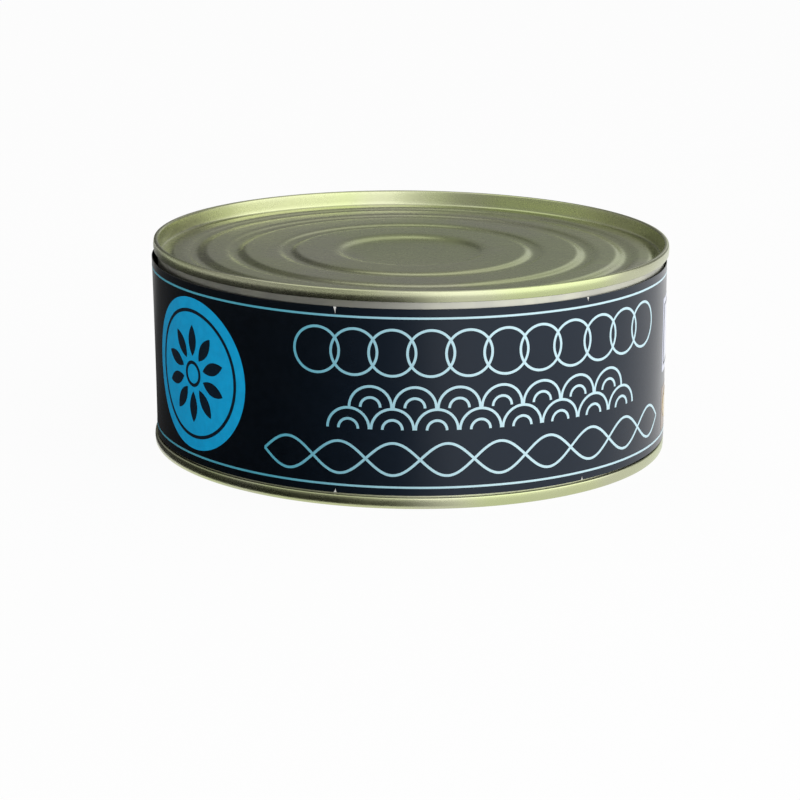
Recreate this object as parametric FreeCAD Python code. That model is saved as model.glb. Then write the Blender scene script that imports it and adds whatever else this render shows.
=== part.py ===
import FreeCAD, Part
import math
import os

# A large round food tin, shut, standing on its lower seam.
# Millimetres, +Z up, origin on the axis at the plane the tin stands on.
# Both ends are pressed sheets folded over the tin wall in double seams; a paper label goes
# round the wall. The tin is sealed, so the space between its ends is one solid.

# ---- driving dimensions ----
can_height = 63.1            # from the crown of one seam to the crown of the other
body_diameter = 154.4        # outside of the tin wall
body_plate = 0.2             # thickness of the tin wall
end_plate = 0.25             # thickness of the end sheets

seam_overhang = 1.3          # how far a seam stands out from the wall
seam_height = 3.3            # crown to lower edge
crown_radius = 0.6           # rounding at both sides of the crown
seam_edge_radius = 0.4       # rounding at the seam's lower edge

chuck_wall_lean = 7.0        # degrees from upright, opening outwards
countersink_below_seam = 1.5
countersink_radius = 0.9     # the groove's outer side, measured on the outside of the sheet
shoulder_width = 3.6         # the S-curve from the countersink up to the panel
panel_rise = 0.8             # panel above the countersink's bottom

disc_radius = 21.5           # middle of the step round the sunken centre disc
disc_step_width = 7.0
disc_depth = 1.4
bead_half_width = 4.0        # from a bead's lip to its lowest line
bead_depth = 0.8
bead_spacing_shares = (0.315, 0.705, 1.0)   # along the flat from the disc's step to the last bead
last_bead_margin = 2.3       # flat between the outermost bead and the shoulder

label_paper = 0.2            # thickness of the label
label_slack = 1.1            # how far the loose side of the label stands off the wall
bare_band_top = 2.1          # bare wall between the upper seam and the label
bare_band_bottom = 0.4       # bare wall between the lower seam and the label

# ---- sizes that follow ----
body_radius = body_diameter / 2
seam_radius = body_radius + seam_overhang
chuck_radius = body_radius - body_plate - end_plate    # inner face of the seam, at its lower edge
countersink_depth = seam_height + countersink_below_seam
panel_depth = countersink_depth - panel_rise
lean = math.radians(chuck_wall_lean)
axis_point = FreeCAD.Vector(0, 0, 0)
up = FreeCAD.Vector(0, 0, 1)
meeting_tolerance = 1e-6     # ends of curves closer than this are one point


def at(radius, height):
    """A point of a profile, in the plane that is turned round the axis."""
    return FreeCAD.Vector(radius, 0, height)


def line(start, end):
    return Part.LineSegment(start, end).toShape()


def arc(centre, radius, from_angle, to_angle):
    """An arc about centre; angles in radians from +X towards +Z."""
    middle = (from_angle + to_angle) / 2
    points = [centre + at(radius * math.cos(a), radius * math.sin(a)) for a in (from_angle, middle, to_angle)]
    return Part.Arc(*points).toShape()


def end_of(edge):
    return edge.lastVertex(True).Point


def start_of(edge):
    return edge.firstVertex(True).Point


def s_curve(radius, level, width, drop, sheet):
    """Two equal tangent arcs from radius outwards over width, down by drop, or up where drop is negative.

    The arcs belong to the outer side of the sheet; sheet moves both to its under side."""
    turn = 2 * math.atan2(abs(drop), width)
    bend = width / (2 * math.sin(turn))
    falls = drop > 0
    high = at(radius if falls else radius + width, level - bend if falls else level - drop - bend)
    low = at(radius + width if falls else radius, level - drop + bend if falls else level + bend)
    upright = math.pi / 2
    if falls:
        lip = arc(high, bend - sheet, upright, upright - turn)
        foot = arc(low, bend + sheet, -upright - turn, -upright)
        return [lip, foot]
    foot = arc(low, bend + sheet, -upright, -upright + turn)
    lip = arc(high, bend - sheet, upright + turn, upright)
    return [foot, lip]


def panel_curves(level, sheet):
    """The curved stretches of the end panel from its centre outwards, at one side of the sheet."""
    shoulder_start = countersink_bottom_radius() - shoulder_width
    flat_start = disc_radius + disc_step_width / 2
    last_bead = shoulder_start - last_bead_margin - bead_half_width
    curves = s_curve(disc_radius - disc_step_width / 2, level - disc_depth, disc_step_width, -disc_depth, sheet)
    for share in bead_spacing_shares:
        middle = flat_start + share * (last_bead - flat_start)
        curves += s_curve(middle - bead_half_width, level, bead_half_width, bead_depth, sheet)
        curves += s_curve(middle, level - bead_depth, bead_half_width, -bead_depth, sheet)
    curves += s_curve(shoulder_start, level, shoulder_width, panel_rise, sheet)
    return curves


def countersink_bottom_radius():
    """Where the countersink is lowest: inside the leaning chuck wall by its rounding."""
    wall_start_height = countersink_depth - countersink_radius * (1 - math.sin(lean))
    wall_start_radius = chuck_radius - (wall_start_height - seam_height) * math.tan(lean)
    return wall_start_radius - countersink_radius * math.cos(lean)


def joined(curves, level_start):
    """The curves in order, with flat runs between them, starting on the axis."""
    edges = []
    here = at(0, level_start)
    for curve in curves:
        if here.distanceToPoint(start_of(curve)) > meeting_tolerance:
            edges.append(line(here, start_of(curve)))
        edges.append(curve)
        here = end_of(curve)
    return edges


def sheet_side(sheet):
    """One side of the pressed end, from the axis to the foot of the chuck wall."""
    panel = can_height - panel_depth
    bottom = can_height - countersink_depth
    curves = panel_curves(panel, sheet)
    middle = at(countersink_bottom_radius(), bottom + countersink_radius)
    curves.append(arc(middle, countersink_radius + sheet, -math.pi / 2, -lean))
    return joined(curves, panel - disc_depth - sheet)


def under_wall_top(under):
    """Where the chuck wall's under side, leaning on from the sheet's, meets the seam's lower edge."""
    foot = end_of(under[-1])
    seam_foot = can_height - seam_height
    return at(foot.x + (seam_foot - foot.z) * math.tan(lean), seam_foot)


def end_outline():
    """The closed profile of the upper end: sheet, chuck wall and double seam."""
    outer = sheet_side(0)
    under = sheet_side(end_plate)
    seam_foot = can_height - seam_height
    crown_base = can_height - crown_radius
    wall_foot = end_of(outer[-1])
    wall_top_radius = wall_foot.x + (crown_base - wall_foot.z) * math.tan(lean)
    # the crown's inner rounding meets the leaning wall at a tangent
    inner_middle = at(wall_top_radius + crown_radius / math.cos(lean), crown_base)
    outer_middle = at(seam_radius - crown_radius, crown_base)
    edge_middle = at(seam_radius - seam_edge_radius, seam_foot + seam_edge_radius)
    inner_round = arc(inner_middle, crown_radius, math.pi - lean, math.pi / 2)
    outer_round = arc(outer_middle, crown_radius, math.pi / 2, 0)
    foot_round = arc(edge_middle, seam_edge_radius, 0, -math.pi / 2)
    under_top = under_wall_top(under)
    closing = [
        line(wall_foot, start_of(inner_round)),
        inner_round,
        line(end_of(inner_round), start_of(outer_round)),
        outer_round,
        line(end_of(outer_round), start_of(foot_round)),
        foot_round,
        line(end_of(foot_round), under_top),
        line(under_top, end_of(under[-1])),
    ]
    axis = line(start_of(under[0]), start_of(outer[0]))
    return outer + closing + under[::-1] + [axis]


def turned(edges):
    """The solid that a closed profile makes when it turns once round the axis."""
    face = Part.Face(Part.Wire(Part.__sortEdges__(edges)))
    return face.revolve(axis_point, up, 360)


def lower_copy(shape):
    """The same piece at the other end of the tin."""
    return shape.mirror(at(0, can_height / 2), up)


def body_solid():
    """The wall and all it holds, out to the under sides of both ends."""
    under = sheet_side(end_plate)
    seam_foot = can_height - seam_height
    under_top = under_wall_top(under)
    half = under + [line(end_of(under[-1]), under_top), line(under_top, at(body_radius, seam_foot))]
    mirrored = [lower_copy(edge) for edge in half]
    wall = line(at(body_radius, seam_foot), at(body_radius, seam_height))
    top_centre = start_of(under[0])
    axis = line(at(0, can_height - top_centre.z), top_centre)
    return turned(half + [wall] + mirrored + [axis])


def loose_loop(radius, height):
    """A closed loop round the wall: snug on the +X half, standing off by the slack on the -X half."""
    far = FreeCAD.Vector(-label_slack, 0, height)
    near = FreeCAD.Vector(0, 0, height)
    side = FreeCAD.Vector(0, radius, 0)
    reach = FreeCAD.Vector(radius, 0, 0)
    edges = [
        Part.Arc(near - side, near + reach, near + side).toShape(),
        line(near + side, far + side),
        Part.Arc(far + side, far - reach, far - side).toShape(),
        line(far - side, near - side),
    ]
    return Part.Wire(edges)


def label_solid():
    """A paper sleeve, open at top and bottom, from one bare band to the other."""
    low = seam_height + bare_band_bottom
    high = can_height - seam_height - bare_band_top
    rise = FreeCAD.Vector(0, 0, high - low)
    outside = Part.Face(loose_loop(body_radius + label_paper, low)).extrude(rise)
    inside = Part.Face(loose_loop(body_radius, low)).extrude(rise)
    return outside.cut(inside)


top_end = turned(end_outline())
pieces = {
    "can_body": body_solid(),
    "top_end": top_end,
    "bottom_end": lower_copy(top_end),
    "label": label_solid(),
}

os.makedirs("parts", exist_ok=True)
for node, shape in pieces.items():
    solid = shape.Solids[0]
    print(node, "solids", len(shape.Solids), "valid", shape.isValid(), "volume mm3", round(solid.Volume, 1))
    solid.exportStep("parts/" + node + ".step")
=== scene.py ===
# A large round food tin with a dark paper label, on a white floor.
# Everything is in metres, +Z up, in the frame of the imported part; the label's front faces -Y.
import bpy
import math
from mathutils import Matrix, Vector, noise


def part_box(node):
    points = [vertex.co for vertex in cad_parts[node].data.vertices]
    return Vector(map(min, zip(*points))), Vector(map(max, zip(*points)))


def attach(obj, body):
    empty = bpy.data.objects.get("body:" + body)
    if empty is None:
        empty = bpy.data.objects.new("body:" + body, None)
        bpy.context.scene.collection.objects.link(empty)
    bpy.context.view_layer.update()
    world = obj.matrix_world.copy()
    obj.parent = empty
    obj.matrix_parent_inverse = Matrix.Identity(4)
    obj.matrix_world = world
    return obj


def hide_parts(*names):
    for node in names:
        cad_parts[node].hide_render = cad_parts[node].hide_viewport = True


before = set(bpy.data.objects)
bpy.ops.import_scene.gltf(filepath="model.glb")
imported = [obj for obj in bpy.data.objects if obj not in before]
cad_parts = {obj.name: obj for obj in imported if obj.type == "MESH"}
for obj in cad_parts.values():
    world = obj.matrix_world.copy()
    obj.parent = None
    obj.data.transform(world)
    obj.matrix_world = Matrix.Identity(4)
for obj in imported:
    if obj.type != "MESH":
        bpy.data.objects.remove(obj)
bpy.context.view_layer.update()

mm = 0.001
turn = 2 * math.pi
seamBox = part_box("top_end")
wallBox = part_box("can_body")
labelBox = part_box("label")
tinHeight = seamBox[1].z
seamRadius = seamBox[1].x
wallRadius = wallBox[1].x
seamHeight = tinHeight - wallBox[1].z
stepsRound = 320                    # faces round every turned piece
creaseAngle = math.radians(40)      # sharper edges than this stay crisp
nearAxis = 1e-9                     # an outline point closer to the axis than this lies on it


class Wire:
    # wraps one output socket, so that masks and mixes read as plain sums
    def __init__(self, tree, socket=None):
        self.tree = tree
        self.socket = socket

    def add(self, kind, settings=None, inputs=None, output=0):
        node = self.tree.nodes.new(kind)
        for name, value in (settings or {}).items():
            setattr(node, name, value)
        for name, value in (inputs or {}).items():
            self.feed(node.inputs[name], value)
        return Wire(self.tree, node.outputs[output])

    def feed(self, target, value):
        if isinstance(value, Wire):
            self.tree.links.new(value.socket, target)
        else:
            target.default_value = value

    def out(self, name):
        return Wire(self.tree, self.socket.node.outputs[name])

    def calc(self, operation, *values):
        return self.add("ShaderNodeMath", {"operation": operation}, dict(enumerate(values)))

    def between(self, low, high):
        return self.add("ShaderNodeMapRange", {"interpolation_type": "SMOOTHSTEP"},
                        {"Value": self, "From Min": low, "From Max": high})

    def mixed(self, first, second):
        return self.add("ShaderNodeMix", {"data_type": "RGBA"}, {0: self, 6: first, 7: second}, output=2)

    def __add__(self, other):
        return self.calc("ADD", self, other)

    def __radd__(self, other):
        return self.calc("ADD", other, self)

    def __sub__(self, other):
        return self.calc("SUBTRACT", self, other)

    def __rsub__(self, other):
        return self.calc("SUBTRACT", other, self)

    def __mul__(self, other):
        return self.calc("MULTIPLY", self, other)

    def __rmul__(self, other):
        return self.calc("MULTIPLY", other, self)


def rgb(red, green, blue):
    # a colour as it is seen on a screen, 0 to 255, turned into the linear values a shader takes
    def linear(level):
        share = level / 255
        return share / 12.92 if share <= 0.04045 else ((share + 0.055) / 1.055) ** 2.4
    return (linear(red), linear(green), linear(blue), 1.0)


def newMaterial(name, **constants):
    material = bpy.data.materials.new(name)
    material.use_nodes = True
    shader = material.node_tree.nodes["Principled BSDF"]
    for socketName, value in constants.items():
        shader.inputs[socketName.replace("_", " ")].default_value = value
    return material, shader, Wire(material.node_tree)


def place(wire):
    return wire.add("ShaderNodeTexCoord").out("Object")


def grain(wire, size, detail=2.0, stretch=(1, 1, 1)):
    # noise with blobs of about the given size, in metres
    spots = wire.add("ShaderNodeMapping", {"vector_type": "POINT"},
                     {"Vector": place(wire), "Scale": tuple(share / size for share in stretch)})
    return wire.add("ShaderNodeTexNoise", {}, {"Vector": spots, "Scale": 1.0, "Detail": detail})


def relief(wire, shader, height, depth):
    bump = wire.add("ShaderNodeBump", {}, {"Height": height, "Distance": depth})
    wire.feed(shader.inputs["Normal"], bump)


goldLook = {
    "clean": rgb(190, 195, 151),
    "greener": rgb(186, 195, 144),
    "greyer": rgb(188, 188, 163),
    "greyShare": 0.7,
    "roughness": 0.27,
    "rubSpread": 0.1,           # how far rubbed spots and rolling lines change the roughness
    "lineSpread": 0.06,
    "relief": 0.004 * mm,
}


def goldLacquer():
    material, shader, wire = newMaterial("goldLacquer", Metallic=1.0, Coat_Roughness=0.12, Coat_Weight=0.15)
    blotch = grain(wire, 38 * mm, detail=1.5).between(0.4, 0.62)
    drift = grain(wire, 70 * mm, detail=0.0).between(0.38, 0.6)
    tone = drift.mixed(goldLook["clean"], goldLook["greener"])
    wire.feed(shader.inputs["Base Color"], (blotch * goldLook["greyShare"]).mixed(tone, goldLook["greyer"]))
    rub = grain(wire, 9 * mm, detail=4.0)
    lines = grain(wire, 0.35 * mm, detail=2.0, stretch=(0.03, 1, 1))
    worn = (rub - 0.5) * goldLook["rubSpread"]
    rolled = (lines - 0.5) * goldLook["lineSpread"]
    wire.feed(shader.inputs["Roughness"], goldLook["roughness"] + worn + rolled)
    relief(wire, shader, lines * 0.4 + grain(wire, 0.6 * mm, detail=3.0) * 0.6, goldLook["relief"])
    return material


tinLook = {
    "warm": rgb(206, 206, 190),
    "dull": rgb(190, 190, 180),
    "roughness": 0.42,
    "spread": 0.12,
    "relief": 0.004 * mm,
}


def bareTin():
    material, shader, wire = newMaterial("bareTin", Metallic=1.0)
    cloud = grain(wire, 12 * mm, detail=3.0)
    tone = cloud.between(0.35, 0.65).mixed(tinLook["warm"], tinLook["dull"])
    wire.feed(shader.inputs["Base Color"], tone)
    lines = grain(wire, 0.3 * mm, detail=2.0, stretch=(1, 1, 0.04))
    wire.feed(shader.inputs["Roughness"], tinLook["roughness"] + (cloud - 0.5) * tinLook["spread"])
    relief(wire, shader, lines, tinLook["relief"])
    return material


varnish = {
    "roughness": 0.2,
    "rawRoughness": 0.55,               # bare paper, without varnish
    "spread": 0.08,
    "specular": 0.3,
    "relief": 0.003 * mm,
    "paintedLightSpan": (-45 * mm, 30 * mm),    # the colour shifts between these places across the label: painted light and sheen from the right
}


def printed(name, colour, worn, glossy=True, paintedLightColour=None):
    # ink on coated paper, under one thin varnish: all prints share the same gloss and paper relief;
    # where a second colour is given, the colour turns to it towards the right of the label: painted light
    # and sheen from that side
    material, shader, wire = newMaterial(name, Specular_IOR_Level=varnish["specular"])
    mottle = grain(wire, 2.5 * mm, detail=4.0).between(0.3, 0.7)
    ink = mottle.mixed(colour, worn)
    # painted light and sheen: towards the right of the label the colour turns to a lighter one
    if paintedLightColour:
        across = wire.add("ShaderNodeSeparateXYZ", {}, {0: place(wire)}).out("X")
        ink = across.between(*varnish["paintedLightSpan"]).mixed(ink, paintedLightColour)
    wire.feed(shader.inputs["Base Color"], ink)
    smear = grain(wire, 14 * mm, detail=3.0)
    base = varnish["roughness" if glossy else "rawRoughness"]
    wire.feed(shader.inputs["Roughness"], base + (smear - 0.5) * varnish["spread"])
    relief(wire, shader, grain(wire, 0.7 * mm, detail=3.0), varnish["relief"])
    return material


finishes = {
    "gold": goldLacquer(),
    "tin": bareTin(),
    # the black ground and the pale cyan ink turn lighter towards the right of the label: painted sheen and
    # light from that side
    "black": printed("blackGround", rgb(3, 9, 16), rgb(6, 13, 21), paintedLightColour=rgb(22, 34, 48)),
    "cyan": printed("paleCyanInk", rgb(86, 172, 192), rgb(78, 164, 186), paintedLightColour=rgb(205, 236, 245)),
    "blue": printed("badgeBlueInk", rgb(6, 170, 226), rgb(5, 161, 217)),
    "ink": printed("badgeDarkInk", rgb(8, 26, 40), rgb(12, 30, 44)),
    "lavender": printed("paleField", rgb(216, 220, 240), rgb(213, 217, 238)),
    "brown": printed("warmField", rgb(122, 94, 62), rgb(126, 98, 66)),
    "gold ink": printed("ochreField", rgb(206, 182, 128), rgb(202, 177, 122)),
    "paper": printed("rawPaper", rgb(226, 226, 222), rgb(216, 215, 210), glossy=False),
}
print("finishes made")


def newPiece(name, vertices, faces, finish):
    mesh = bpy.data.meshes.new(name)
    mesh.from_pydata(vertices, [], faces)
    mesh.validate()
    mesh.update()
    mesh.materials.append(finishes[finish])
    piece = bpy.data.objects.new(name, mesh)
    bpy.context.scene.collection.objects.link(piece)
    mesh.shade_smooth()
    mesh.set_sharp_from_angle(angle=creaseAngle)
    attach(piece, "root")
    return piece


def turned(name, outline, finish, shift=None):
    # turns a closed outline of (radius, height) points once round the axis,
    # where the points on the axis become one
    vertices = []
    rows = []
    for radius, height in outline:
        if radius < nearAxis:
            rows.append([len(vertices)])
            vertices.append((0, 0, height))
            continue
        rows.append(list(range(len(vertices), len(vertices) + stepsRound)))
        for step in range(stepsRound):
            angle = turn * step / stepsRound
            point = Vector((radius * math.cos(angle), radius * math.sin(angle), height))
            vertices.append(point + shift(point) if shift else point)
    faces = []
    for first, second in zip(rows, rows[1:] + rows[:1]):
        if len(first) == 1 and len(second) == 1:
            continue
        for step in range(stepsRound):
            after = (step + 1) % stepsRound
            if len(first) == 1:
                faces.append((first[0], second[step], second[after]))
            elif len(second) == 1:
                faces.append((first[after], first[step], second[0]))
            else:
                faces.append((first[step], second[step], second[after], first[after]))
    return newPiece(name, vertices, faces, finish)


endShape = {
    "plate": 0.25 * mm,
    "wallPlate": 0.2 * mm,
    "crownRounding": 0.6 * mm,
    "footRounding": 0.4 * mm,
    "lean": math.radians(7),
    "countersinkBelowSeam": 1.5 * mm,
    "countersinkRounding": 0.9 * mm,
    "shoulderWidth": 3.6 * mm,
    "panelRise": 0.8 * mm,
    "discRadius": 21.5 * mm,
    "discStep": 7.0 * mm,
    "discDepth": 1.4 * mm,
    "beadHalfWidth": 4.0 * mm,
    "beadDepth": 0.8 * mm,
    "beadShares": (0.315, 0.705, 1.0),
    "lastBeadMargin": 2.3 * mm,
    "seamBulge": 0.1 * mm,          # the seam's outer face is slightly round
    "unevenness": 0.05 * mm,
    "swell": 34 * mm,
    "ripple": 13 * mm,
    "rippleShare": 0.35,
    "calmFrom": 58 * mm,            # the unevenness dies out between these radii
    "calmAt": 70 * mm,
}


def bow(centre, radius, fromAngle, toAngle, steps):
    angles = [fromAngle + (toAngle - fromAngle) * step / steps for step in range(steps + 1)]
    return [(centre[0] + radius * math.cos(angle), centre[1] + radius * math.sin(angle))
            for angle in angles]


def bend(start, level, width, drop, sheet, steps=8):
    # two equal tangent bows from start outwards over width, down by drop or up where drop is negative
    angle = 2 * math.atan2(abs(drop), width)
    radius = width / (2 * math.sin(angle))
    upright = math.pi / 2
    if drop > 0:
        lip = bow((start, level - radius), radius - sheet, upright, upright - angle, steps)
        foot = bow((start + width, level - drop + radius), radius + sheet,
                   -upright - angle, -upright, steps)
        return lip + foot[1:]
    foot = bow((start, level + radius), radius + sheet, -upright, -upright + angle, steps)
    lip = bow((start + width, level - drop - radius), radius - sheet, upright + angle, upright, steps)
    return foot + lip[1:]


def endOutline(steps):
    # the upper end's closed outline: top of the sheet, chuck wall, double seam, and back under the sheet
    e = endShape
    depth = seamHeight + e["countersinkBelowSeam"]
    level = tinHeight - depth + e["panelRise"]
    chuckRadius = wallRadius - e["wallPlate"] - e["plate"]
    rounding = e["countersinkRounding"]
    wallStart = depth - rounding * (1 - math.sin(e["lean"]))
    lowest = chuckRadius - (wallStart - seamHeight) * math.tan(e["lean"]) - rounding * math.cos(e["lean"])
    shoulder = lowest - e["shoulderWidth"]
    flatStart = e["discRadius"] + e["discStep"] / 2
    lastBead = shoulder - e["lastBeadMargin"] - e["beadHalfWidth"]

    def sheetSide(sheet):
        points = [(0, level - e["discDepth"] - sheet)]
        discEdge = e["discRadius"] - e["discStep"] / 2
        points += [(discEdge * share, points[0][1]) for share in (0.12, 0.25, 0.4, 0.55, 0.7, 0.85)]
        points += bend(discEdge, level - e["discDepth"], e["discStep"], -e["discDepth"], sheet, steps)
        for share in e["beadShares"]:
            middle = flatStart + share * (lastBead - flatStart)
            last = points[-1]
            gap = middle - e["beadHalfWidth"] - last[0]
            points += [(last[0] + gap * part, last[1]) for part in (0.33, 0.67) if gap > 2 * mm]
            half, deep = e["beadHalfWidth"], e["beadDepth"]
            points += bend(middle - half, level, half, deep, sheet, steps)
            points += bend(middle, level - deep, half, -deep, sheet, steps)[1:]
        points += bend(shoulder, level, e["shoulderWidth"], e["panelRise"], sheet, steps)
        points += bow((lowest, tinHeight - depth + rounding), rounding + sheet,
                      -math.pi / 2, -e["lean"], steps)[1:]
        return points

    outer = sheetSide(0)
    under = sheetSide(e["plate"])
    crownBase = tinHeight - e["crownRounding"]
    wallTop = outer[-1][0] + (crownBase - outer[-1][1]) * math.tan(e["lean"])
    innerMiddle = (wallTop + e["crownRounding"] / math.cos(e["lean"]), crownBase)
    rim = [(outer[-1][0] + (wallTop - outer[-1][0]) * share,
            outer[-1][1] + (crownBase - outer[-1][1]) * share) for share in (0.25, 0.5, 0.75)]
    rim += bow(innerMiddle, e["crownRounding"], math.pi - e["lean"], math.pi / 2, 8)
    rim += bow((seamRadius - e["crownRounding"], crownBase), e["crownRounding"], math.pi / 2, 0, 8)
    seamFoot = tinHeight - seamHeight
    foot = bow((seamRadius - e["footRounding"], seamFoot + e["footRounding"]), e["footRounding"],
               0, -math.pi / 2, 5)
    face = [(seamRadius + e["seamBulge"] * (1 - (2 * share - 1) ** 2),
             foot[0][1] + (crownBase - foot[0][1]) * share)
            for share in (0.875, 0.75, 0.625, 0.5, 0.375, 0.25, 0.125)]
    underFoot = under[-1]
    underTop = (underFoot[0] + (seamFoot - underFoot[1]) * math.tan(e["lean"]), seamFoot)
    return outer + rim + face + foot + [underTop] + under[::-1]


def sheetUnevenness(point):
    # pressed sheet is never quite flat: slow swells on the panel that die out at the seam
    e = endShape
    radius = math.hypot(point.x, point.y)
    calm = min(1.0, max(0.0, (e["calmAt"] - radius) / (e["calmAt"] - e["calmFrom"])))
    swell = noise.noise(Vector((point.x, point.y, 0.0)) / e["swell"])
    ripple = noise.noise(Vector((point.x, point.y, 9.0 * mm)) / e["ripple"])
    return Vector((0, 0, e["unevenness"] * calm * (swell + e["rippleShare"] * ripple)))


def makeEnds():
    outline = endOutline(steps=7)
    top = turned("topEnd", outline, "gold", sheetUnevenness)
    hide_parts("top_end")
    mirrored = [(radius, tinHeight - height) for radius, height in outline][::-1]
    bottom = turned("bottomEnd", mirrored, "gold", sheetUnevenness)
    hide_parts("bottom_end")


def makeWall():
    plate = endShape["wallPlate"]
    low, high = seamHeight, tinHeight - seamHeight
    heights = [low + (high - low) * step / 12 for step in range(13)]
    outer = [(wallRadius, height) for height in heights]
    outline = [(wallRadius - plate, low)] + outer + [(wallRadius - plate, high)]
    wall = turned("tinWall", outline, "tin")
    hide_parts("can_body")


makeEnds()
makeWall()
print("tin made")


# Places on the label are (degrees, height): degrees round from the front, to the right as it is read.

label = {
    "paper": 0.2 * mm,
    "looseTop": 1.65 * mm,      # how far the paper stands off at the upper left
    "looseFoot": 0.5 * mm,      # and at the lower left
    "rightTop": 0.6 * mm,       # the same at the right
    "rightFoot": 1.1 * mm,
    "clearance": 0.05 * mm,     # between paper and wall where the label lies close
    "looseCurve": 1.3,          # how late the left side opens towards the top
    "leftSpread": 1.5,          # how closely the loose paper keeps to the left, and to the right
    "rightSpread": 3,
    "edgeRipple": 0.12 * mm,
    "lapFrom": 144,             # one end of the paper lies over the other, between these degrees
    "lapTo": 150,
    "low": labelBox[0].z,
    "high": labelBox[1].z,
    "columns": 720,
    "rows": 24,
}
degreeLength = (wallRadius + label["paper"]) * math.pi / 180


def paperRadius(degrees, height):
    angle = math.radians(degrees)
    left = max(0.0, -math.sin(angle))
    right = max(0.0, math.sin(angle))
    share = (height - label["low"]) / (label["high"] - label["low"])
    slack = label["looseFoot"] + (label["looseTop"] - label["looseFoot"]) * share ** label["looseCurve"]
    ease = label["rightFoot"] + (label["rightTop"] - label["rightFoot"]) * share
    radius = wallRadius + label["paper"] + label["clearance"]
    radius = radius + slack * left ** label["leftSpread"] + ease * right ** label["rightSpread"]
    nearEdge = abs(2 * share - 1) ** 3
    wave = noise.noise(Vector((math.cos(angle) * 5, math.sin(angle) * 5, share * 1.2)))
    lap = (degrees % 360 - label["lapFrom"]) / (label["lapTo"] - label["lapFrom"])
    if 0 < lap < 1:
        radius += label["paper"] * min(1.0, 2 * lap)
    return radius + label["edgeRipple"] * (0.3 + 0.7 * nearEdge) * wave


def onPaper(degrees, height, lift=0.0):
    radius = paperRadius(degrees, height) + lift
    angle = math.radians(degrees)
    return Vector((radius * math.sin(angle), -radius * math.cos(angle), height))


def makeLabel():
    columns, rows = label["columns"], label["rows"]
    low, high = label["low"], label["high"]
    vertices = []
    for step in range(columns):
        degrees = 360 * step / columns
        for lift in (0.0, -label["paper"]):
            order = range(rows + 1) if lift == 0 else range(rows, -1, -1)
            for row in order:
                height = low + (high - low) * row / rows
                vertices.append(onPaper(degrees, height, lift))
    ring = 2 * (rows + 1)
    faces = []
    for step in range(columns):
        here, after = step * ring, (step + 1) % columns * ring
        for row in range(ring):
            following = (row + 1) % ring
            faces.append((here + row, after + row, after + following, here + following))
    sleeve = newPiece("labelSleeve", vertices, faces, "black")
    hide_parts("label")


# how far each layer of ink stands off the paper; every layer reaches down into it
inkLift = {"ground": 0.035 * mm, "over": 0.11 * mm}
inkSink = 0.06 * mm
slimmest = 0.01 * mm        # half the width of an ink shape where it runs out to a point


def inkSheet(columns, closed=False):
    # a closed sliver of ink over columns of (degrees, height) places: returns its corners, each with
    # whether it is on the upper side, and its faces
    across = len(columns[0])
    ring = 2 * across
    vertices = []
    for places in columns:
        vertices += [(where, True) for where in places]
        vertices += [(where, False) for where in reversed(places)]
    count = len(columns)
    faces = []
    for step in range(count if closed else count - 1):
        here, after = ring * step, ring * ((step + 1) % count)
        for side in range(ring):
            following = (side + 1) % ring
            faces.append((here + side, after + side, after + following, here + following))
    if not closed:
        for here, flipped in ((0, False), (ring * (count - 1), True)):
            for side in range(across - 1):
                cap = (here + side, here + side + 1, here + ring - 2 - side, here + ring - 1 - side)
                faces.append(cap[::-1] if flipped else cap)
    return vertices, faces


def inkPiece(name, sheets, finish, layer="ground"):
    vertices, faces = [], []
    for corners, sheetFaces in sheets:
        base = len(vertices)
        vertices += [onPaper(*where, inkLift[layer] if upper else -inkSink) for where, upper in corners]
        faces += [tuple(base + corner for corner in face) for face in sheetFaces]
    newPiece(name, vertices, faces, finish)


def stroke(places, width, closed=False):
    # a line of even width through (degrees, height) places
    count = len(places)
    columns = []
    for step, (degrees, height) in enumerate(places):
        before = places[step - 1] if closed or step else places[0]
        after = places[(step + 1) % count] if closed or step < count - 1 else places[-1]
        along = Vector(((after[0] - before[0]) * degreeLength, after[1] - before[1])).normalized()
        across = Vector((-along.y, along.x)) * width / 2
        columns.append([(degrees + across.x / degreeLength, height + across.y),
                        (degrees - across.x / degreeLength, height - across.y)])
    return inkSheet(columns, closed)


def near(middle, across, rise):
    # a place so far to the right of a middle and so far above it
    return (middle[0] + across / degreeLength, middle[1] + rise)


def circle(middle, radius, steps=72, fromAngle=0.0, toAngle=turn):
    angles = [fromAngle + (toAngle - fromAngle) * step / steps for step in range(steps + 1)]
    return [near(middle, radius * math.cos(angle), radius * math.sin(angle)) for angle in angles]


def ringStroke(middle, radius, width, steps=72):
    return stroke(circle(middle, radius, steps)[:-1], width, closed=True)


def filledOval(middle, halfWidth, halfHeight, slices=40, rows=16):
    columns = []
    for step in range(slices + 1):
        angle = math.pi * step / slices
        half = max(halfHeight * math.sin(angle), slimmest)
        columns.append([near(middle, -halfWidth * math.cos(angle), half * (2 * row / rows - 1))
                        for row in range(rows + 1)])
    return inkSheet(columns)


def filledField(fromDegrees, toDegrees, low, high, slices=60, rows=16):
    columns = []
    for step in range(slices + 1):
        degrees = fromDegrees + (toDegrees - fromDegrees) * step / slices
        columns.append([(degrees, low + (high - low) * row / rows) for row in range(rows + 1)])
    return inkSheet(columns)


def filledLeaf(middle, innerRadius, outerRadius, angle, halfWidth, steps=12):
    # a pointed leaf that lies along a ray from the middle
    columns = []
    for step in range(steps + 1):
        share = step / steps
        along = innerRadius + (outerRadius - innerRadius) * share
        half = max(halfWidth * math.sin(math.pi * share) ** 0.8, slimmest)
        columns.append([near(middle, along * math.cos(angle) - side * half * math.sin(angle),
                             along * math.sin(angle) + side * half * math.cos(angle))
                        for side in (1, 0, -1)])
    return inkSheet(columns)


makeLabel()
print("label made")


borders = {"fromTop": 2.6 * mm, "fromFoot": 2.4 * mm, "width": 0.62 * mm}


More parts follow.
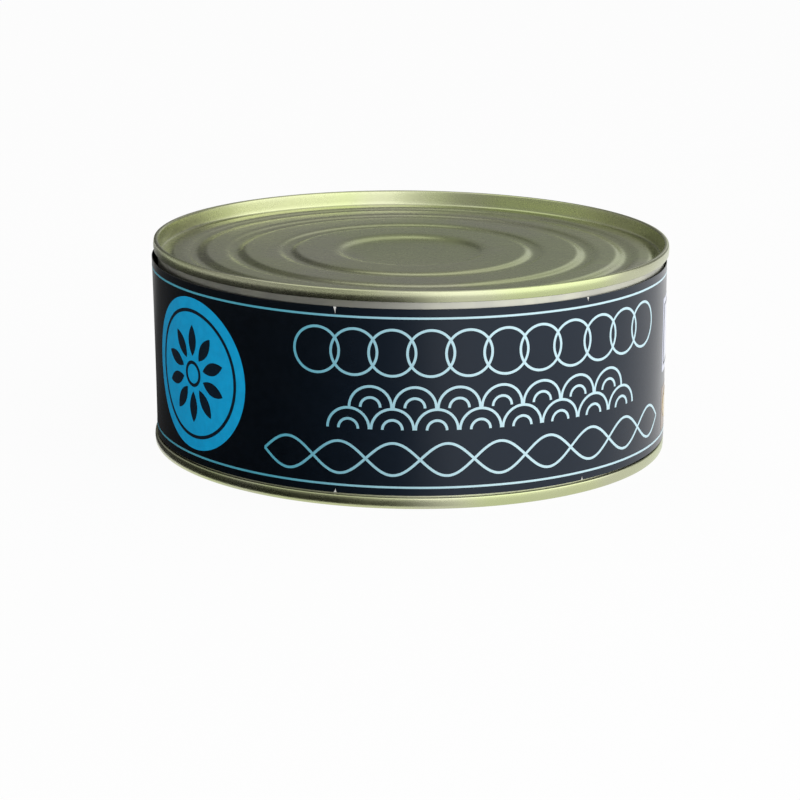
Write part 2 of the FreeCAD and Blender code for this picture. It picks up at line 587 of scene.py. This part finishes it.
def makeBorders():
    start = label["lapTo"] - 360
    around = [start + 360 * step / 720 for step in range(721)]
    heights = (label["low"] + borders["fromFoot"], label["high"] - borders["fromTop"])
    inkPiece("labelBorders", [stroke([(degrees, height) for degrees in around], borders["width"])
                              for height in heights], "cyan")


badge = {
    "middle": (-54.0, label["low"] + 26.9 * mm),
    "radius": 22.8 * mm,
    "ringRadius": 18.9 * mm,
    "ringWidth": 1.0 * mm,
    "leaves": 10,
    "leafSpan": (5.4 * mm, 14.6 * mm),
    "leafHalfWidth": 1.9 * mm,
    "heartRadius": 3.4 * mm,
}


def makeBadge():
    # a plain round field with a thin ring and a rosette of leaves
    b = badge
    inkPiece("badgeField", [filledOval(b["middle"], b["radius"], b["radius"], slices=72, rows=24)], "blue")
    marks = [ringStroke(b["middle"], b["ringRadius"], b["ringWidth"], steps=120)]
    marks.append(ringStroke(b["middle"], b["heartRadius"], b["ringWidth"]))
    for leaf in range(b["leaves"]):
        angle = turn * (leaf + 0.5) / b["leaves"]
        marks.append(filledLeaf(b["middle"], *b["leafSpan"], angle, b["leafHalfWidth"]))
    inkPiece("badgeMarks", marks, "ink", layer="over")


bands = {
    "width": 0.75 * mm,
    "ringSpan": (-25.0, 66.0),      # upper row: a chain of rings
    "ringHeight": 41.4 * mm,        # heights are above the label's lower edge
    "ringRadius": 7.0 * mm,
    "rings": 11,
    "scaleSpan": (-17.5, 57.0),     # middle row: two courses of scales
    "scaleHeight": 19.2 * mm,
    "scaleRadius": 6.4 * mm,
    "scales": 8,
    "waveSpan": (-32.0, 71.0),      # lower row: two crossing waves
    "waveHeight": 10.6 * mm,
    "waveRise": 4.7 * mm,
    "waves": 9,
}


def makeBands():
    b = bands
    sheets = []
    start, end = b["ringSpan"]
    inset = b["ringRadius"] / degreeLength
    for ring in range(b["rings"]):
        degrees = start + inset + (end - start - 2 * inset) * ring / (b["rings"] - 1)
        middle = (degrees, label["low"] + b["ringHeight"])
        sheets.append(ringStroke(middle, b["ringRadius"] - b["width"] / 2, b["width"]))
    start, end = b["scaleSpan"]
    pitch = (end - start) / b["scales"]
    for course, first, count in ((0, 0.5, b["scales"]), (1, 1.0, b["scales"] - 1)):
        for scale in range(count):
            height = label["low"] + b["scaleHeight"] + course * b["scaleRadius"]
            middle = (start + pitch * (first + scale), height)
            for radius in (b["scaleRadius"], b["scaleRadius"] * 0.5):
                sheets.append(stroke(circle(middle, radius - b["width"] / 2, 48, 0, math.pi), b["width"]))
    start, end = b["waveSpan"]
    for side in (1, -1):
        wave = []
        for step in range(361):
            share = step / 360
            rise = side * b["waveRise"] * math.sin(turn * share * b["waves"] / 2)
            wave.append((start + (end - start) * share, label["low"] + b["waveHeight"] + rise))
        sheets.append(stroke(wave, b["width"]))
    inkPiece("labelBands", sheets, "cyan")


sidePanel = {
    "span": (76.5, 124.0),
    "paleLow": 21.8 * mm,       # heights are above the label's lower edge
    "paleHigh": 44.6 * mm,
    "warmLow": 3.6 * mm,
    "warmHigh": 17.0 * mm,
    "frameInset": 2.2 * mm,
    "frameWidth": 0.5 * mm,
    "ovals": 3,
    "ovalHalf": (8.2 * mm, 4.6 * mm),
}


def makeSidePanel():
    # a pale field in a thin frame, over a warm one with a row of ovals
    p = sidePanel
    low = label["low"]
    inkPiece("palePanel", [filledField(*p["span"], low + p["paleLow"], low + p["paleHigh"])], "lavender")
    inkPiece("warmPanel", [filledField(*p["span"], low + p["warmLow"], low + p["warmHigh"])], "brown")
    inset = p["frameInset"]
    left, right = p["span"][0] + inset / degreeLength, p["span"][1] - inset / degreeLength
    foot, head = low + p["paleLow"] + inset, low + p["paleHigh"] - inset
    along = [left + (right - left) * step / 40 for step in range(41)]
    sides = [[(degrees, height) for degrees in along] for height in (foot, head)]
    upwards = [foot + (head - foot) * step / 16 for step in range(17)]
    sides += [[(degrees, height) for height in upwards] for degrees in (left, right)]
    inkPiece("paleFrame", [stroke(side, p["frameWidth"]) for side in sides], "ink", layer="over")
    middleHeight = low + (p["warmLow"] + p["warmHigh"]) / 2
    pitch = (p["span"][1] - p["span"][0]) / p["ovals"]
    middles = [(p["span"][0] + pitch * (oval + 0.5), middleHeight) for oval in range(p["ovals"])]
    ovals = [filledOval(middle, *p["ovalHalf"]) for middle in middles]
    inkPiece("warmOvals", ovals, "gold ink", layer="over")


# small nicks where the coated paper is chipped at its edges: (degrees, at the upper edge, across, deep)
nicks = ((-15.8, True, 0.9 * mm, 1.9 * mm), (40.5, True, 0.8 * mm, 1.2 * mm),
         (-15.6, False, 0.9 * mm, 1.1 * mm), (40.0, False, 0.8 * mm, 0.9 * mm))


def makeNicks():
    # each narrows inwards from the edge and leans a little
    sheets = []
    for degrees, upper, across, deep in nicks:
        edge = label["high"] if upper else label["low"]
        inward = -1 if upper else 1
        columns = []
        for step in range(7):
            share = step / 6
            half = across / 2 * max((1 - share) ** 1.6, 0.12) * -inward
            height = inward * (0.02 * mm + deep * share)
            lean = 0.15 * across * share
            columns.append([near((degrees, edge), lean - half, height),
                            near((degrees, edge), lean + half, height)])
        sheets.append(inkSheet(columns))
    inkPiece("labelNicks", sheets, "paper")


makeBorders()
makeBadge()
makeBands()
makeSidePanel()
makeNicks()
print("print made")


studio = {
    "distance": 0.8139,
    "elevation": 13.414,
    "roll": 0.624,
    "lens": 118.75,
    "shift": (-0.0129, -0.0802),
    "aimHeight": 31.7 * mm,
    "cardRadius": 1.5,
    "cardLift": 0.3 * mm,       # how far a flat card lies above the floor
    "softbox": {"azimuth": 50, "distance": 0.5, "size": (1.15, 0.62), "middle": 0.27, "level": 0.98},
    "worldLevel": 0.62,         # the light that only dull surfaces take from the surroundings
    "floorReach": 6,
    "floorTone": (0.92, 0.92, 0.92, 1),
    "floorGlow": 0.94,          # the rest of the floor's look is shaded, which keeps its shadow
}


def makeCamera():
    lens = bpy.data.cameras.new("camera")
    lens.lens = studio["lens"]
    lens.sensor_width = 36
    lens.shift_x, lens.shift_y = studio["shift"]
    lens.clip_start, lens.clip_end = 0.01, 20
    camera = bpy.data.objects.new("camera", lens)
    bpy.context.scene.collection.objects.link(camera)
    target = Vector((0, 0, studio["aimHeight"]))
    lift = math.radians(studio["elevation"])
    camera.location = target + studio["distance"] * Vector((0, -math.cos(lift), math.sin(lift)))
    facing = (target - camera.location).to_track_quat("-Z", "Y").to_matrix().to_4x4()
    tilt = Matrix.Rotation(math.radians(studio["roll"]), 4, "Z")
    camera.matrix_world = Matrix.Translation(camera.location) @ facing @ tilt
    bpy.context.scene.camera = camera


def stageMesh(name, vertices, faces):
    mesh = bpy.data.meshes.new(name)
    mesh.from_pydata(vertices, [], faces)
    thing = bpy.data.objects.new(name, mesh)
    bpy.context.scene.collection.objects.link(thing)
    return thing


def makeFloor():
    reach = studio["floorReach"]
    corners = [(-reach, -reach, 0), (reach, -reach, 0), (reach, reach, 0), (-reach, reach, 0)]
    floor = stageMesh("floor", corners, [(0, 1, 2, 3)])
    material, shader, wire = newMaterial("floorWhite", Roughness=0.8, Specular_IOR_Level=0.0)
    shader.inputs["Base Color"].default_value = studio["floorTone"]
    glow = wire.add("ShaderNodeEmission", {}, {"Color": (1, 1, 1, 1), "Strength": 1.0})
    shaded = Wire(wire.tree, shader.outputs[0])
    share = backgroundRay(wire) * studio["floorGlow"]
    mixedFloor = wire.add("ShaderNodeMixShader", {}, {0: share, 1: shaded, 2: glow})
    wire.feed(material.node_tree.nodes["Material Output"].inputs["Surface"], mixedFloor)
    floor.data.materials.append(material)


def backgroundRay(wire):
    # 1 for the rays that show the background: seen directly, in gloss or through glass
    path = wire.add("ShaderNodeLightPath")
    return wire.calc("MAXIMUM", wire.calc("MAXIMUM", path.out("Is Camera Ray"), path.out("Is Glossy Ray")),
                     path.out("Is Transmission Ray"))


def compass(azimuth, radius, height):
    # azimuth in degrees from the front, growing to the right
    angle = math.radians(azimuth)
    return (radius * math.sin(angle), -radius * math.cos(angle), height)


def makeCard(name, span, edges, levels, flat=False):
    # a card that only gloss sees; edges are two heights, or two radii where it lies flat on the floor;
    # levels are (azimuth, brightness) stops along it
    steps = 48
    vertices, faces = [], []
    for step in range(steps + 1):
        azimuth = span[0] + (span[1] - span[0]) * step / steps
        for edge in edges:
            radius, height = (edge, studio["cardLift"]) if flat else (studio["cardRadius"], edge)
            vertices.append(compass(azimuth, radius, height))
    for step in range(steps):
        faces.append((2 * step, 2 * step + 2, 2 * step + 3, 2 * step + 1))
    card = stageMesh(name, vertices, faces)
    attribute = card.data.attributes.new("level", "FLOAT", "POINT")
    for index in range(len(vertices)):
        azimuth = span[0] + (span[1] - span[0]) * (index // 2) / steps
        attribute.data[index].value = levelAt(levels, azimuth)
    card.visible_camera = False
    card.visible_diffuse = False
    card.visible_shadow = False
    material, shader, wire = newMaterial(name, Base_Color=(0, 0, 0, 1), Specular_IOR_Level=0.0,
                                         Emission_Strength=1.0)
    level = wire.add("ShaderNodeAttribute", {"attribute_name": "level"}).out("Fac")
    wire.feed(shader.inputs["Emission Color"], level.mixed((0, 0, 0, 1), (1, 1, 1, 1)))
    card.data.materials.append(material)


def levelAt(stops, azimuth):
    if azimuth <= stops[0][0]:
        return stops[0][1]
    for (start, low), (end, high) in zip(stops, stops[1:]):
        if azimuth <= end:
            share = (azimuth - start) / (end - start)
            return low + (high - low) * share * share * (3 - 2 * share)
    return stops[-1][1]


def makeSoftbox():
    box = studio["softbox"]
    lamp = bpy.data.lights.new("softbox", "AREA")
    lamp.shape = "RECTANGLE"
    lamp.size, lamp.size_y = box["size"]
    lamp.energy = math.pi * box["size"][0] * box["size"][1] * box["level"]
    thing = bpy.data.objects.new("softbox", lamp)
    bpy.context.scene.collection.objects.link(thing)
    thing.location = compass(box["azimuth"], box["distance"], box["middle"])
    aim = Vector((0, 0, 0.05)) - thing.location
    thing.rotation_euler = aim.to_track_quat("-Z", "Y").to_euler()
    thing.visible_camera = False


def makeWorld():
    world = bpy.data.worlds.new("studio")
    bpy.context.scene.world = world
    world.use_nodes = True
    world.node_tree.nodes.clear()
    wire = Wire(world.node_tree)
    lit = wire.add("ShaderNodeBackground", {}, {"Color": (1, 1, 1, 1), "Strength": studio["worldLevel"]})
    plain = wire.add("ShaderNodeBackground", {}, {"Color": (1, 1, 1, 1), "Strength": 1.0})
    shown = wire.add("ShaderNodeMixShader", {}, {0: backgroundRay(wire), 1: lit, 2: plain})
    output = world.node_tree.nodes.new("ShaderNodeOutputWorld")
    wire.feed(output.inputs["Surface"], shown)


makeCamera()
makeFloor()
makeWorld()
makeSoftbox()
makeCard("backCard", (115, 245), (0.0, 1.9),
         ((115, 0.25), (154, 0.3), (163, 0.72), (169, 0.72), (172.5, 0.25),
          (187.5, 0.25), (191, 0.1), (207, 0.1), (221, 0.3), (245, 0.36)))
makeCard("leftCard", (-115, -8), (0.0, 1.4), ((-115, 0.3), (-95, 0.42), (-25, 0.42), (-8, 1.0)))
makeCard("lowCard", (-180, 16), (0.0795, 0.6),
         ((-180, 1.0), (-130, 0.08), (-100, 0.05), (-22, 0.02), (-6, 0.08), (16, 1.0)), flat=True)
bpy.context.scene.view_settings.view_transform = "Standard"

print("studio made")
